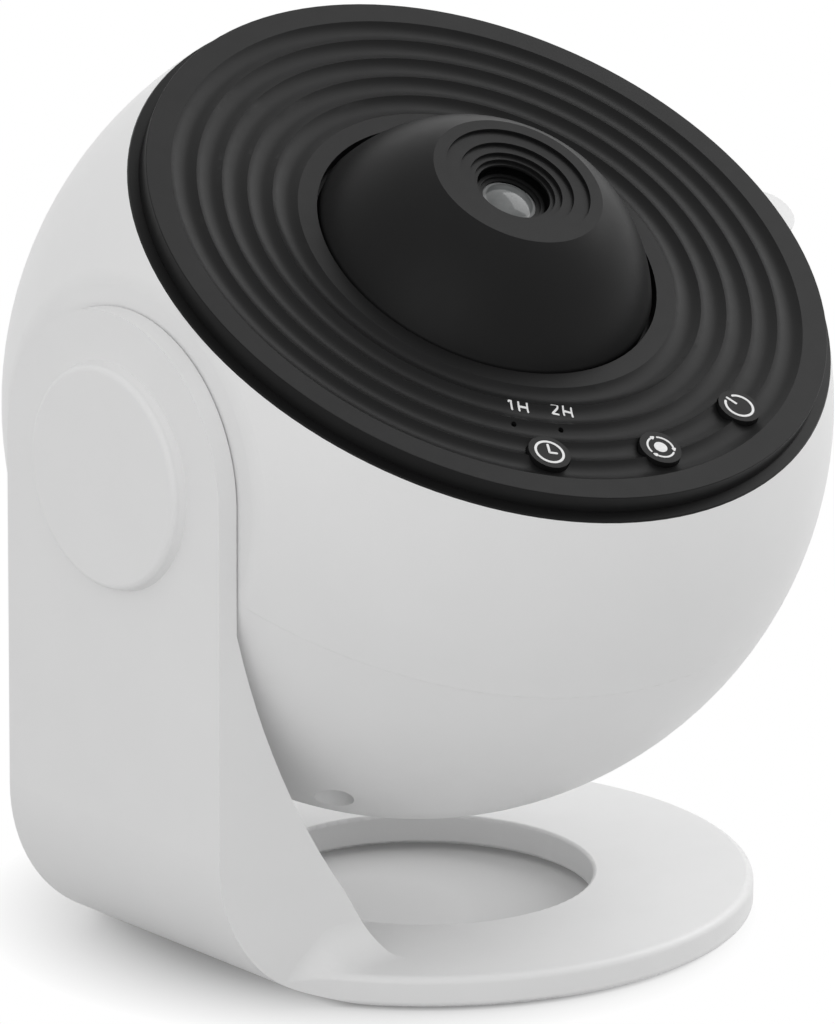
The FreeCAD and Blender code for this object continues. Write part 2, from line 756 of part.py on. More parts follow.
def make_lenses():
    """Front lens, rear lens and the threaded ring that keeps each in the barrel."""
    front = new_body("front_lens", HEAD)
    edge_top = "front_seat + lens_edge"
    centre = f"{edge_top} - {at_radius('front_curve', 'lens_radius')}"
    turn(front, [("0", "front_seat"), ("lens_radius", "front_seat"),
                 ("lens_radius", edge_top, "front_curve"), ("0", f"{centre} + front_curve")])
    ring = new_body("front_lens_ring", HEAD)
    edge = "barrel_bore - running_gap"
    hollow = "(front_curve + clearance)"
    nose_step = "lens_nose_top - lens_nose_step"
    turn(ring, [(edge, f"{centre} + {at_radius(hollow, edge)}"), (edge, "barrel_top"),
                ("lens_nose", "barrel_top"), ("lens_nose", "lens_nose_top"),
                ("lens_nose_inner", "lens_nose_top"), ("lens_nose_inner", nose_step),
                ("lens_opening", nose_step),
                ("lens_opening", f"{centre} + {at_radius(hollow, 'lens_opening')}",
                 f"-{hollow}")])
    rear = new_body("rear_lens", HEAD)
    edge_foot = "rear_seat - lens_edge"
    turn(rear, [("0", f"{edge_foot} - rear_curve + {at_radius('rear_curve', 'lens_radius')}",
                 "rear_curve"),
                ("lens_radius", edge_foot), ("lens_radius", "rear_seat"), ("0", "rear_seat")])
    keeper = new_body("rear_lens_ring", HEAD)
    keeper_foot = "barrel_foot + 2 * clearance"
    turn(keeper, [(edge, keeper_foot), (edge, f"{edge_foot} - 2 * clearance"),
                  ("keeper_radius", f"{edge_foot} - keeper_slope"),
                  ("keeper_radius", keeper_foot)])


def make_lens_guide():
    """Plate over the drawer: it bears the focus ring and its two fingers key the lens barrel."""
    body = new_body("lens_guide", HEAD)
    turn(body, ring_outline("guide_bore", "guide_radius", "guide_under", "guide_top"))
    pad(body, "XY", "guide_top - root", "helicoid_foot - guide_top",
        *key_bars("key_inner", "key_outer", "key_half"))
    holes = [(draw_circle, *polar("guide_screw_circle", angle), SCREW_HOLE)
             for angle in GUIDE_ANGLES]
    pocket(body, "XY", "guide_top + 1", "wall_cut", *holes)


# ---- Star disc, its drawer and drive --------------------------------------------------------------

def make_disc_guide():
    """Fixed bed of the drawer: a floor with the light's window, two rails, and four legs."""
    body = new_body("disc_guide", HEAD)
    pad(body, "XY", "guide_floor", "guide_floor_top - guide_floor",
        (draw_box, "rail_back", "-rail_outer", "rail_front", "rail_outer"))
    rails = [(draw_box, "rail_back", "rail_inner", "rail_front", "rail_outer"),
             (draw_box, "rail_back", "-rail_outer", "rail_front", "-rail_inner")]
    pad(body, "XY", "guide_floor_top", "guide_under - guide_floor_top", *rails)
    inner = "rail_inner - runner_width"
    runners = [(draw_box, "tray_back", inner, "rail_front", "rail_inner"),
               (draw_box, "tray_back", "-rail_inner", "rail_front", f"-({inner})")]
    pad(body, "XY", "guide_floor_top", "runner_top - guide_floor_top", *runners)
    legs = [(draw_circle, x, y, "leg_radius") for x, y in LEG_SPOTS]
    pad(body, "XY", "chassis_half", "guide_floor - chassis_half", *legs)
    pocket(body, "XY", "guide_floor_top + 1", "wall_cut",
           (draw_circle, "0", "0", "tube_bore + 1"),
           (draw_circle, PINION_X, "0", "nose_radius + clearance"))
    pocket(body, "XY", "chassis_half + leg_pilot", "pilot_depth",
           *[(draw_circle, x, y, PILOT) for x, y in LEG_SPOTS])


# Places of the pinion and the screws, and two opposite corners of each chip
PINION_X = "-(gear_module * (disc_teeth + pinion_teeth) / 2)"
LEG_SPOTS = [(x, y) for x in ("-leg_x", "leg_x") for y in ("-leg_y", "leg_y")]
TUBE_SPOTS = [polar("tube_screw_circle", angle) for angle in ("0", "120", "240")]
SINK_SPOTS = [("sink_screw_x", "sink_screw_y"), ("-sink_screw_x", "-sink_screw_y")]
BOARD_SPOTS = [(x, y) for x in ("-board_corner_x", "board_corner_x")
               for y in ("main_board_near + board_corner_in", "main_board_far - board_corner_in")]
CHIPS = [("-6", "28", "2", "36"), ("7", "30", "13", "35"), ("-15", "24", "-11", "40")]


def make_disc_tray():
    """Drawer that carries the disc: a fork with a round pocket and lip, and a thumb tab outside."""
    body = new_body("disc_tray", HEAD)
    corner_x = at_radius("tray_face", "tray_half")
    mouth_y = at_radius("disc_pocket", "tray_back")
    pad(body, "XY", "tray_floor", "tray_top - tray_floor",
        (draw_outline, [("tray_back", "-tray_half"), (corner_x, "-tray_half", "tray_face"),
                        (corner_x, "tray_half"), ("tray_back", "tray_half"),
                        ("tray_back", mouth_y), ("tray_back", f"-{mouth_y}")]))
    pocket(body, "XY", "tray_top + 1", "tray_top + 1 - disc_bed",
           (draw_circle, "0", "0", "disc_pocket"))
    pocket(body, "XY", "tray_top + 1", "wall_cut + 1", (draw_circle, "0", "0", "disc_lip"))
    pocket(body, "XY", "tray_top + 1", "wall_cut + 1",
           (draw_box, "tray_back - 1", "-fork_half", "0", "fork_half"))
    pad(body, "XY", "tab_floor", "tab_top - tab_floor",
        (draw_circle, "tab_reach - tab_radius", "0", "tab_radius"))


def cut_teeth(body, teeth):
    """Cut one tooth space on the body's X axis, straight-flanked, and repeat it round."""
    pitch = f"gear_module * {teeth} / 2"
    gap = "(pi * gear_module / 4 + tooth_slack)"
    lean = f"tan(pressure_angle + 90 / {teeth})"
    tip = f"{pitch} + gear_module * tooth_above"
    root = f"{pitch} - gear_module * tooth_below"
    wide = f"({gap} + gear_module * tooth_above * {lean})"
    narrow = f"({gap} - gear_module * tooth_below * {lean})"
    space = pocket(body, "XY", "disc_top + 1", "wall_cut",
                   (draw_outline, [(root, f"-{narrow}"), (tip, f"-{wide}"), (tip, wide),
                                   (root, narrow)]))
    polar_copies(body, space, teeth)


def make_star_disc():
    """Geared rim in two lips with the printed film held between them."""
    rim = new_body("disc_rim", HEAD)
    outer = "gear_module * (disc_teeth / 2 + 1)"
    film_top = "film_floor + film_thick"
    turn(rim, [("film_window", "disc_floor"), (outer, "disc_floor"), (outer, "disc_top"),
               ("film_window", "disc_top"), ("film_window", film_top),
               ("film_radius", film_top), ("film_radius", "film_floor"),
               ("film_window", "film_floor")])
    cut_teeth(rim, "disc_teeth")
    film = new_body("star_film", HEAD)
    pad(film, "XY", "film_floor", "film_thick", (draw_circle, "0", "0", "film_radius"))


def make_disc_drive():
    """Pinion beside the disc on the shaft of a small geared motor under the bed."""
    half_pitch = 180 / SIZES["pinion_teeth"]
    shift = FreeCAD.Placement(FreeCAD.Vector(size(PINION_X), 0, 0),
                              FreeCAD.Rotation(FreeCAD.Vector(0, 0, 1), half_pitch))
    place = HEAD.multiply(shift)
    pinion = new_body("drive_pinion", place)
    tip = "gear_module * (pinion_teeth / 2 + 1)"
    turn(pinion, ring_outline("shaft_radius", tip, "disc_floor - 2 * clearance",
                              "disc_top + 2 * clearance"))
    cut_teeth(pinion, "pinion_teeth")
    shaft = new_body("motor_shaft", place)
    foot = "guide_floor - shaft_dip"
    pad(shaft, "XY", foot, f"disc_top + shaft_proud - ({foot})",
        (draw_circle, "0", "0", "shaft_radius"))
    motor = new_body("drive_motor", place)
    bore = "shaft_radius + running_gap"
    nose = "guide_floor + nose_high"
    turn(motor, [("0", "motor_foot"), ("motor_radius", "motor_foot"),
                 ("motor_radius", "guide_floor"), ("nose_radius", "guide_floor"),
                 ("nose_radius", nose), (bore, nose),
                 (bore, f"{foot} - root"), ("0", f"{foot} - root")])


# ---- Lamp -------------------------------------------------------------------------------------------

def make_lamp():
    """Light tunnel with its condenser, over a light-emitting diode on a finned heat sink."""
    tube = new_body("lamp_tube", HEAD)
    seat = "condenser_floor"
    flange_top = "chassis_half + tube_flange_high"
    turn(tube, [("condenser_ledge", "chassis_half"), ("tube_flange", "chassis_half"),
                ("tube_flange", flange_top), ("tube_radius", flange_top),
                ("tube_radius", "tube_top"), ("tube_bore", "tube_top"), ("tube_bore", seat),
                ("condenser_ledge", seat)])
    pocket(tube, "XY", flange_top, "wall_cut",
           *[(draw_circle, *spot, PILOT) for spot in TUBE_SPOTS])
    lens = new_body("condenser_lens", HEAD)
    edge = "(tube_bore - running_gap)"
    top = f"{seat} + condenser_edge"
    turn(lens, [("0", seat), (edge, seat), (edge, top, "condenser_curve"),
                ("0", f"{top} + condenser_curve - {at_radius('condenser_curve', edge)}")])
    board = new_body("lamp_board", HEAD)
    board_face = "sink_top + board_thick"
    pad(board, "XY", "sink_top", "board_thick", (draw_circle, "0", "0", "lamp_board_radius"))
    lamp = new_body("lamp_diode", HEAD)
    half = "lamp_base_half"
    pad(lamp, "XY", board_face, "lamp_base_high", (draw_box, f"-{half}", f"-{half}", half, half))
    dome_foot = f"{board_face} + lamp_base_high - clearance"
    turn(lamp, [("0", dome_foot), ("lamp_dome", dome_foot, "lamp_dome"),
                ("0", f"{dome_foot} + lamp_dome")])
    sink = new_body("heat_sink", HEAD)
    pad(sink, "XY", "sink_top - sink_base", "sink_base", (draw_circle, "0", "0", "sink_radius"))
    fins = []
    for i in range(SIZES["fin_count"]):
        outermost = "(sink_radius - fin_margin)"
        middle = f"({outermost} * (2 * {i} / (fin_count - 1) - 1))"
        reach = f"({at_radius('sink_radius', middle)} - fin_margin / 2)"
        fins.append((draw_box, f"-{reach}", f"{middle} - fin_thick / 2",
                     reach, f"{middle} + fin_thick / 2"))
    pad(sink, "XY", "sink_foot", "sink_top - sink_base - sink_foot + root", *fins)
    pocket(sink, "XY", "sink_top + 1", "wall_cut",
           *[(draw_circle, *spot, SCREW_HOLE) for spot in SINK_SPOTS])


# ---- Chassis and boards -----------------------------------------------------------------------------

def make_chassis():
    """Round plate clamped between the shells: notched round the hub, with a well for the lamp."""
    body = new_body("chassis", HEAD)
    turn(body, ring_outline("lamp_board_radius + 1", "chassis_radius",
                            "-chassis_half", "chassis_half"))
    turn(body, ring_outline("lamp_board_radius + 1", "sink_radius", "sink_top", "0"))
    pad(body, "XY", "main_board_top", "-main_board_top - chassis_half + clearance",
        *[(draw_circle, *spot, "small_boss") for spot in BOARD_SPOTS])
    pocket(body, "XY", "chassis_half + 1", "wall_cut",
           (draw_box, "-ball_radius", "-hub_notch_half", "hub_notch_x", "hub_notch_half"),
           *[(draw_circle, *polar("well_circle", angle), "screw_radius + clearance")
             for angle in WELL_ANGLES],
           *[(draw_circle, *spot, SCREW_HOLE) for spot in LEG_SPOTS + TUBE_SPOTS])
    pocket(body, "XY", "chassis_half + 1", "wall_cut",
           (draw_box, "-ball_radius", "-facet_notch_half", "facet_x + shell_wall + root",
            "facet_notch_half"))
    pocket(body, "XY", "-0.5", "wall_cut", *[(draw_circle, *spot, PILOT) for spot in SINK_SPOTS])
    pocket(body, "XY", "-chassis_half - 0.6", "pilot_depth + 2",
           *[(draw_circle, *spot, PILOT) for spot in BOARD_SPOTS])


def make_main_board():
    """Circuit board hung under the chassis, with its chips."""
    board = new_body("main_board", HEAD)
    low = "main_board_top - board_thick"
    pad(board, "XY", low, "board_thick",
        (draw_box, "-main_board_half", "main_board_near", "main_board_half", "main_board_far"))
    pocket(board, "XY", "main_board_top + 1", "wall_cut",
           *[(draw_circle, *spot, SCREW_HOLE) for spot in BOARD_SPOTS])
    chips = new_body("board_chips", HEAD)
    pad(chips, "XY", low + " - chip_high", "chip_high", *[(draw_box, *chip) for chip in CHIPS])


def make_power_inlet():
    """Metal socket shell in the ball's back with its small board; z is the way the plug leaves."""
    shell = new_body("power_inlet", INLET)
    face = "ball_radius - inlet_sunk"
    back = f"{face} - inlet_depth"
    pad(shell, "XY", back, "inlet_depth", (draw_slot, "inlet_width / 2", "inlet_height / 2"))
    pocket(shell, "XY", face, "inlet_depth - inlet_back",
           (draw_slot, "inlet_width / 2 - inlet_wall", "inlet_height / 2 - inlet_wall"))
    pad(shell, "XY", back, "inlet_depth - tongue_short",
        (draw_box, "-tongue_width / 2", "-tongue_thick / 2", "tongue_width / 2",
         "tongue_thick / 2"))
    board = new_body("inlet_board", INLET)
    pad(board, "XY", f"{back} - inlet_board_reach",
        "inlet_depth + inlet_board_reach - inlet_board_short",
        (draw_box, "-inlet_board_half", "-inlet_height / 2 - board_thick",
         "inlet_board_half", "-inlet_height / 2"))


def draw_slot(sketch, half_wide, half_tall):
    """A slot outline with bowed ends, a little flatter than half circles."""
    flat = f"({half_wide} - ({half_tall}))"
    end = f"slot_bulge * ({half_tall})"
    draw_outline(sketch, [(f"-{flat}", f"-({half_tall})"), (flat, f"-({half_tall})", end),
                          (flat, half_tall), (f"-{flat}", half_tall, end)])


# ---- Pivot and stand --------------------------------------------------------------------------------

def make_pivot():
    """Hub held by the shells, turning on the stand's hollow axle, with its bolt and springs."""
    hub = new_body("pivot_hub", HEAD)
    bore = "axle_radius + running_gap"
    neck = "hub_hole_radius - 0.05"
    flange = "facet_x + shell_wall + running_gap"
    end = "axle_tip + 2 * clearance"
    turn(hub, [("facet_x", bore), ("facet_x", neck), (flange, neck), (flange, "hub_flange"),
               (f"{flange} + hub_flange_thick", "hub_flange"),
               (f"{flange} + hub_flange_thick", neck), (end, neck), (end, bore)],
         plane="XY", about="H_Axis")
    bolt = new_body("pivot_bolt", STAND)
    seat = "recess_floor - bolt_washer_thick"
    tip = "axle_tip + bolt_proud"
    turn(bolt, [(f"{seat} - bolt_head_high", "0"), (f"{seat} - bolt_head_high", "bolt_head"),
                (seat, "bolt_head"), (seat, "bolt_radius"), (tip, "bolt_radius"), (tip, "0")],
         plane="XY", about="H_Axis")
    hole = "bolt_radius + clearance"
    friction_start = "axle_tip + friction_gap"
    spring_start = f"{friction_start} + friction_thick"
    for name, start, end, radius in (("bolt_washer", seat, "recess_floor", "bolt_washer"),
                                     ("friction_washer", friction_start, spring_start,
                                      "friction_washer")):
        washer = new_body(name, STAND)
        turn(washer, [(start, hole), (start, radius), (end, radius), (end, hole)],
             plane="XY", about="H_Axis")
    spring = new_body("disc_spring", STAND)
    spring_end = f"{spring_start} + spring_rise + spring_thick"
    turn(spring, [(spring_start, "spring_outer"), (f"{spring_start} + spring_rise", "spring_inner"),
                  (spring_end, "spring_inner"), (f"{spring_start} + spring_thick", "spring_outer")],
         plane="XY", about="H_Axis")
    nut = new_body("lock_nut", STAND)
    hexagon = [polar("nut_corner", str(60 * i)) for i in range(6)]
    pad(nut, "YZ", spring_end, "nut_high", (draw_outline, hexagon),
        (draw_circle, "0", "0", "bolt_radius + pilot_gap"))


def make_pivot_cap():
    """Round cover of the pivot, with drafted sides, a soft edge and a ring that plugs the arm."""
    body = new_body("pivot_cap", STAND)
    plug = "recess_radius - clearance"
    edge = "cap_radius - cap_draft"
    turn(body, [("cap_face", "0"), ("cap_face", f"{edge} - cap_edge", "-cap_edge"),
                ("cap_face + cap_edge", edge), ("arm_outer", "cap_radius"), ("arm_outer", plug),
                ("arm_outer + plug_depth", plug), ("arm_outer + plug_depth", f"{plug} - plug_wall"),
                ("cap_face + cap_wall", f"{plug} - plug_wall"), ("cap_face + cap_wall", "0")],
         plane="XY", about="H_Axis")


def make_stand_frame():
    """One bent moulding: a ring base, and an arm with a gusset up to the pivot's hollow axle."""
    body = new_body("stand_frame", STAND)
    # Base disc and the strip that joins it, with blended corners, seen from above
    blend = "(base_radius + blend_radius)"
    blend_x = f"base_x - sqrt({blend}^2 - (arm_half + blend_radius)^2)"
    touch = f"base_radius / {blend}"
    touch_x = f"(base_x + ({blend_x} - base_x) * {touch})"
    touch_y = f"((arm_half + blend_radius) * {touch})"
    pad(body, "XY", "stand_under", "base_top - stand_under",
        (draw_outline, [("arm_outer", "-arm_half"), (blend_x, "-arm_half", "-blend_radius"),
                        (touch_x, f"-{touch_y}", "base_radius"),
                        ("base_x + base_radius", "0", "base_radius"),
                        (touch_x, touch_y, "-blend_radius"), (blend_x, "arm_half"),
                        ("arm_outer", "arm_half")]))
    rim, under = [[("base_x", side, level) for side in ("base_radius", "-base_radius")]
                  for level in ("base_top", "stand_under")]
    round_edges(body, "rim_round", *rim)
    round_edges(body, "under_round", *under)
    # Arm and gusset, seen from the front
    pad(body, "XZ", "-arm_half", "2 * arm_half",
        (draw_outline, [("arm_outer", "arm_half"), ("arm_outer", "stand_under"),
                        ("gusset_end_x", "stand_under"), ("gusset_end_x", "base_top"),
                        ("gusset_foot_x", "gusset_foot_z", "-gusset_radius"),
                        ("arm_inner", "gusset_start"), ("arm_inner", "arm_half")]))
    # Round outer bend under the arm
    centre_z = "stand_under + bend_radius"
    pocket(body, "XZ", "stand_cut", "2 * stand_cut",
           (draw_outline, [("arm_outer - 1", "stand_under - 1"),
                           ("arm_outer + bend_radius", "stand_under - 1"),
                           ("arm_outer + bend_radius", "stand_under", "-bend_radius"),
                           ("arm_outer", centre_z), ("arm_outer - 1", centre_z)]))
    # Hollow that follows the ball over the gusset
    hollow_y = at_radius("hollow_radius", "arm_inner")
    turn(body, [("arm_inner", "0"), ("0", "0"), ("0", "hollow_radius", "hollow_radius"),
                ("arm_inner", hollow_y)], plane="XY", about="H_Axis", cut=True)
    # Round top of the arm about the pivot
    pocket(body, "YZ", "arm_inner + 1", "deep_cut",
           (draw_outline, [("-arm_half", "0", "-arm_half"), ("0", "arm_half", "-arm_half"),
                           ("arm_half", "0"), ("arm_half + 2", "0"),
                           ("arm_half + 2", "arm_half + 2"), ("-arm_half - 2", "arm_half + 2"),
                           ("-arm_half - 2", "0")]))
    # The gusset's sides and foot flow into the base, and the arm's inner edge is rounded over
    beside_gusset = [(f"({blend_x} + gusset_end_x) / 2", side, "base_top")
                     for side in ("arm_half", "-arm_half")]
    round_edges(body, "gusset_side_round", *beside_gusset)
    round_edges(body, "gusset_foot_round", ("gusset_end_x", "0", "base_top"))
    round_edges(body, "arm_inner_round", ("arm_inner", "0", "arm_half"))
    # Hollow axle, recess for the cap, hole of the base and pockets for the feet
    pad(body, "YZ", "arm_inner - root", "axle_tip - arm_inner + root",
        (draw_circle, "0", "0", "axle_radius"))
    pocket(body, "YZ", "recess_floor", "wall_cut", (draw_circle, "0", "0", "recess_radius"))
    pocket(body, "YZ", "axle_tip + 1", "2 * deep_cut",
           (draw_circle, "0", "0", "bolt_radius + clearance"))
    pocket(body, "XY", "base_top + 1", "deep_cut", (draw_circle, "base_x", "0", "base_bore"))
    for level in ("base_top", "stand_under"):
        round_edges(body, "bore_round", ("base_x + base_bore", "0", level))
    feet = [(draw_circle, x, y, "foot_radius + clearance") for x, y in foot_spots()]
    pocket(body, "XY", "stand_under + foot_sunk", "wall_cut", *feet)


def foot_spots():
    """Places of the four feet under the base, round its centre."""
    spots = [polar("feet_circle", str(45 + 90 * i)) for i in range(4)]
    return [(f"base_x + {x}", y) for x, y in spots]


def make_feet():
    """Four rubber feet let into the base."""
    body = new_body("base_feet", STAND)
    pad(body, "XY", "foot_under", "stand_under + foot_sunk - foot_under",
        *[(draw_circle, x, y, "foot_radius") for x, y in foot_spots()])


make_front_shell()
make_rear_shell()
make_bezel_ring()
make_panel()
for button, button_place in BUTTON_ANGLES.items():
    make_button(button, button_place)
make_tact_switches()
make_key_board()
make_light_pipes()
make_focus_ring()
make_lens_barrel()
make_lenses()
make_lens_guide()
make_disc_guide()
make_disc_tray()
make_star_disc()
make_disc_drive()
make_lamp()
make_chassis()
make_main_board()
make_power_inlet()
make_pivot()
make_pivot_cap()
make_stand_frame()
make_feet()
make_screws("shell_screws", [polar("well_circle", angle) for angle in WELL_ANGLES],
            "well_floor", "screw_tip", kind="")
make_screws("guide_screws", [polar("guide_screw_circle", angle) for angle in GUIDE_ANGLES],
            "guide_under", "panel_under - clearance")
make_screws("leg_screws", LEG_SPOTS, "-chassis_half", "chassis_half + leg_pilot - 2 * clearance")
make_screws("tube_screws", TUBE_SPOTS, "-chassis_half", "chassis_half + tube_flange_high")
make_screws("sink_screws", SINK_SPOTS, "sink_top - sink_base", "-0.5 - clearance")
make_screws("key_board_screws", [polar("button_circle", angle) for angle in BOARD_SCREW_ANGLES],
            "board_top - board_thick", "board_top + wall_cut")
make_screws("main_board_screws", BOARD_SPOTS, "main_board_top - board_thick",
            "main_board_top + pilot_depth - 1")

doc.recompute()
for item in doc.Objects:
    if "Invalid" in item.State or "Error" in item.State:
        raise RuntimeError(item.Label + " failed: " + str(item.State))
os.makedirs("parts", exist_ok=True)
for node in nodes:
    if node.Shape.isNull() or not node.Shape.isValid():
        raise RuntimeError(node.Label + " has no valid shape")
    node.Shape.exportStep("parts/" + node.Label + ".step")
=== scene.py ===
import json
import math

import bpy
import numpy as np
from mathutils import Matrix, Vector


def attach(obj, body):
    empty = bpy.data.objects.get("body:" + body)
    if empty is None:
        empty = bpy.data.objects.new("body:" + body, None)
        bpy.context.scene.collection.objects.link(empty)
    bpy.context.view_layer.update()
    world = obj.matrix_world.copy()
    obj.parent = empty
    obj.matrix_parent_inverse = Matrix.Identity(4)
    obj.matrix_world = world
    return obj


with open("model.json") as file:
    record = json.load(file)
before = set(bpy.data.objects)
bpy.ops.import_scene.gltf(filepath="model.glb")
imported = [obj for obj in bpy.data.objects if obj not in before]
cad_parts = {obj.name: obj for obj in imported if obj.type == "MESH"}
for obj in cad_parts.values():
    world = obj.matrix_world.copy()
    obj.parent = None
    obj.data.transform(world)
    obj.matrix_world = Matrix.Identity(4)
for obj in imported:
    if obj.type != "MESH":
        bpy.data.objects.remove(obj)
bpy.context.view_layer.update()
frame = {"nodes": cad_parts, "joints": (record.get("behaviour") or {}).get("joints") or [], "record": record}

# Home planetarium projector: a ball head in a one-armed stand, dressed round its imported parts.
# Metres, +Z up, -Y the front. The head leans back about the tilt axis, which runs along X through
# the ball's centre; head pieces are worked out in the head's own millimetres (x along the tilt
# axis, y up the panel, z along the lens axis) and carried over by to_frame.

MM = 0.001
TILT = next(joint for joint in frame["joints"] if joint["name"] == "head_tilt")
BALL = np.array(TILT["pos_m"]) / MM
LEAN = math.radians(30)

# Panel and buttons, in the head's millimetres
PANEL_INNER_TOP = 32.9
PANEL_RISE = 0.7
RIPPLE_INNER = 30.9
RIPPLE_PITCH = 4.15
RIPPLE_COUNT = 5
RIPPLE_DEPTH = 0.7
BUTTON_TOP = 33.8
BUTTON_CIRCLE = 46.5
BUTTON_ANGLES = {"timer": -24.5, "rotate": 0.0, "power": 24.5}
LENS_OPENING = 4.4


# ---- Places and meshes --------------------------------------------------------------------------


def to_frame(points):
    """Head millimetres to the frame's metres: turned by LEAN about X, then moved to the ball."""
    x, y, z = points[..., 0], points[..., 1], points[..., 2]
    c, s = math.cos(LEAN), math.sin(LEAN)
    return (np.stack([x, y * c - z * s, y * s + z * c], axis=-1) + BALL) * MM


def panel_height(radius):
    """Level of the panel's face at a distance from the lens axis: between two crests it is a
    hollow arc through both, of radius ((pitch / 2)^2 + depth^2) / (2 depth), and the crests rise
    evenly outwards."""
    half = RIPPLE_PITCH / 2
    arc = (half ** 2 + RIPPLE_DEPTH ** 2) / (2 * RIPPLE_DEPTH)
    steps = (radius - RIPPLE_INNER) / RIPPLE_PITCH
    across = (steps - np.floor(steps)) * RIPPLE_PITCH - half
    level = PANEL_INNER_TOP + PANEL_RISE * steps / RIPPLE_COUNT
    return level + (arc - RIPPLE_DEPTH) - np.sqrt(arc ** 2 - across ** 2)


def button_height(radius):
    """Level of the buttons' flat tops, the same at every distance from the lens axis."""
    return np.full_like(radius, BUTTON_TOP)


def add_object(name, data):
    """A new object at the origin, in the scene."""
    thing = bpy.data.objects.new(name, data)
    bpy.context.scene.collection.objects.link(thing)
    return thing


# ---- Printed marks ------------------------------------------------------------------------------

# Sizes in millimetres, angles in degrees. Ink stands INK over a surface and reaches as far into
# it. An arc has at least ARC_STEPS steps, and END_SHARE keeps an open end from closing to a line.
INK = 0.07
POINT_GAP = 0.08
ARC_STEPS = 8
END_SHARE = 0.98

ICON_STROKE = 0.2
ICON_RADIUS = 2.25
HANDS_MEET = -0.15
MINUTE_HAND_TOP = 1.75
HOUR_HAND_TIP = 1.35
GAP_START, GAP_END = 64, 106
BAR_ACROSS = 0.05
BAR_TOP, BAR_FOOT = 2.5, 0.45

PLANET_RADIUS = 1.08
ORBIT_RADIUS = 2.15
ORBIT_STROKE = 0.16
ORBIT_HEADS = (-18, 102, 222)
ORBIT_SWEEP = 92
ARROW_LENGTH = 0.8
ARROW_HALF = 0.5
ARROW_TIP = 0.08

LETTER_STROKE = 0.15
LETTER_RISE = 0.85
LETTER_REACH = 0.7
FLAG_REACH, FLAG_LEVEL = 0.5, 0.4
BOW_RADIUS = 0.48
BOW_START, BOW_END = 160, -40
FOOT_LEFT, FOOT_RIGHT = 0.55, 0.6

# Timer marks: their circle round the lens axis, turn and lean, and each mark's angle on the circle
# and the places of its figure and letter across it
MARK_CIRCLE = 35.7
MARK_TURN = -29.5
MARK_LEAN = 0.2
HOUR_ANGLES = {"one": -28.5, "two": -16.75}
FIGURE_PLACES = {"one": -1.05, "two": -1.15}
LETTER_PLACES = {"one": 0.85, "two": 0.98}


def line_path(*corners):
    """Points every POINT_GAP or less along straight runs between corners, in the mark's plane."""
    runs = []
    for here, there in zip(corners, corners[1:]):
        count = max(2, math.ceil(math.dist(here, there) / POINT_GAP))
        share = np.linspace(0, 1, count, endpoint=False)[:, None]
        runs.append(np.array(here) * (1 - share) + np.array(there) * share)
    return np.concatenate(runs + [np.array([corners[-1]], float)])


def arc_path(radius, start, end, centre=(0, 0)):
    """Points along an arc from one angle to another, in degrees from the mark's right."""
    count = max(ARC_STEPS, math.ceil(abs(math.radians(end - start)) * radius / POINT_GAP))
    angle = np.radians(np.linspace(start, end, count + 1))
    return np.array(centre) + radius * np.stack([np.cos(angle), np.sin(angle)], axis=-1)


def stroke(path, half_width):
    """One ink line: a flat four-cornered section carried along a path. Its half width is w, one
    number or one for each point, and sqrt(w^2 - (w - t)^2) within w of either end, where t is
    the way to that end, so that open ends are round. A path that ends where it began is joined
    up. Returns points, as across, up and lift, and faces."""
    closed = np.allclose(path[0], path[-1])
    if closed:
        path = path[:-1]
        ahead = np.roll(path, -1, axis=0) - np.roll(path, 1, axis=0)
        width = np.full(len(path), half_width)
    else:
        ahead = np.gradient(path, axis=0)
        steps = np.linalg.norm(np.diff(path, axis=0), axis=1)
        travelled = np.concatenate([[0], np.cumsum(steps)])
        to_end = np.minimum(travelled, travelled[-1] - travelled)
        inside = np.clip(half_width - to_end, 0, half_width * END_SHARE)
        width = np.sqrt(half_width ** 2 - inside ** 2)
    ahead /= np.linalg.norm(ahead, axis=1)[:, None]
    left = np.stack([-ahead[:, 1], ahead[:, 0]], axis=-1) * width[:, None]
    sides = [path + left, path - left, path - left, path + left]
    lifts = [INK, INK, -INK, -INK]
    rows = np.stack([np.column_stack([side, np.full(len(path), lift)])
                     for side, lift in zip(sides, lifts)], axis=1)
    count, corners = len(path), len(sides)
    row, column = np.meshgrid(np.arange(count if closed else count - 1), np.arange(corners),
                              indexing="ij")
    here, there = row * corners, (row + 1) % count * corners
    beside = (column + 1) % corners
    faces = np.stack([here + column, here + beside, there + beside, there + column],
                     axis=-1).reshape(-1, corners)
    if not closed:
        ends = np.array([np.arange(corners)[::-1], np.arange(corners) + (count - 1) * corners])
        faces = np.concatenate([faces, ends])
    return rows.reshape(-1, 3), faces


def add_mark(name, body, strokes, material, radius, angle, turned, level, lean=0.0):
    """Strokes printed at a distance from the lens axis and an angle from straight down, as one
    mesh that rides on a body. They are turned by turned degrees, their tops lean to the left by a
    share of their height, and level gives the surface's height at a distance from the axis."""
    at, tilt = math.radians(angle), math.radians(turned)
    centre = radius * np.array([math.sin(at), -math.cos(at)])
    right = np.array([math.cos(tilt), math.sin(tilt)])
    up = np.array([-math.sin(tilt), math.cos(tilt)])
    starts = np.cumsum([0] + [len(rows) for rows, quads in strokes])
    points = np.concatenate([rows for rows, quads in strokes])
    faces = np.concatenate([quads + start for (rows, quads), start in zip(strokes, starts)])
    points[:, 0] -= lean * points[:, 1]
    flat = centre + points[:, :1] * right + points[:, 1:2] * up
    height = level(np.linalg.norm(flat, axis=1)) + points[:, 2]
    mesh = bpy.data.meshes.new(name)
    mesh.from_pydata(to_frame(np.column_stack([flat, height])).tolist(), [], faces.tolist())
    mesh.materials.append(material)
    mark = add_object(name, mesh)
    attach(mark, body)


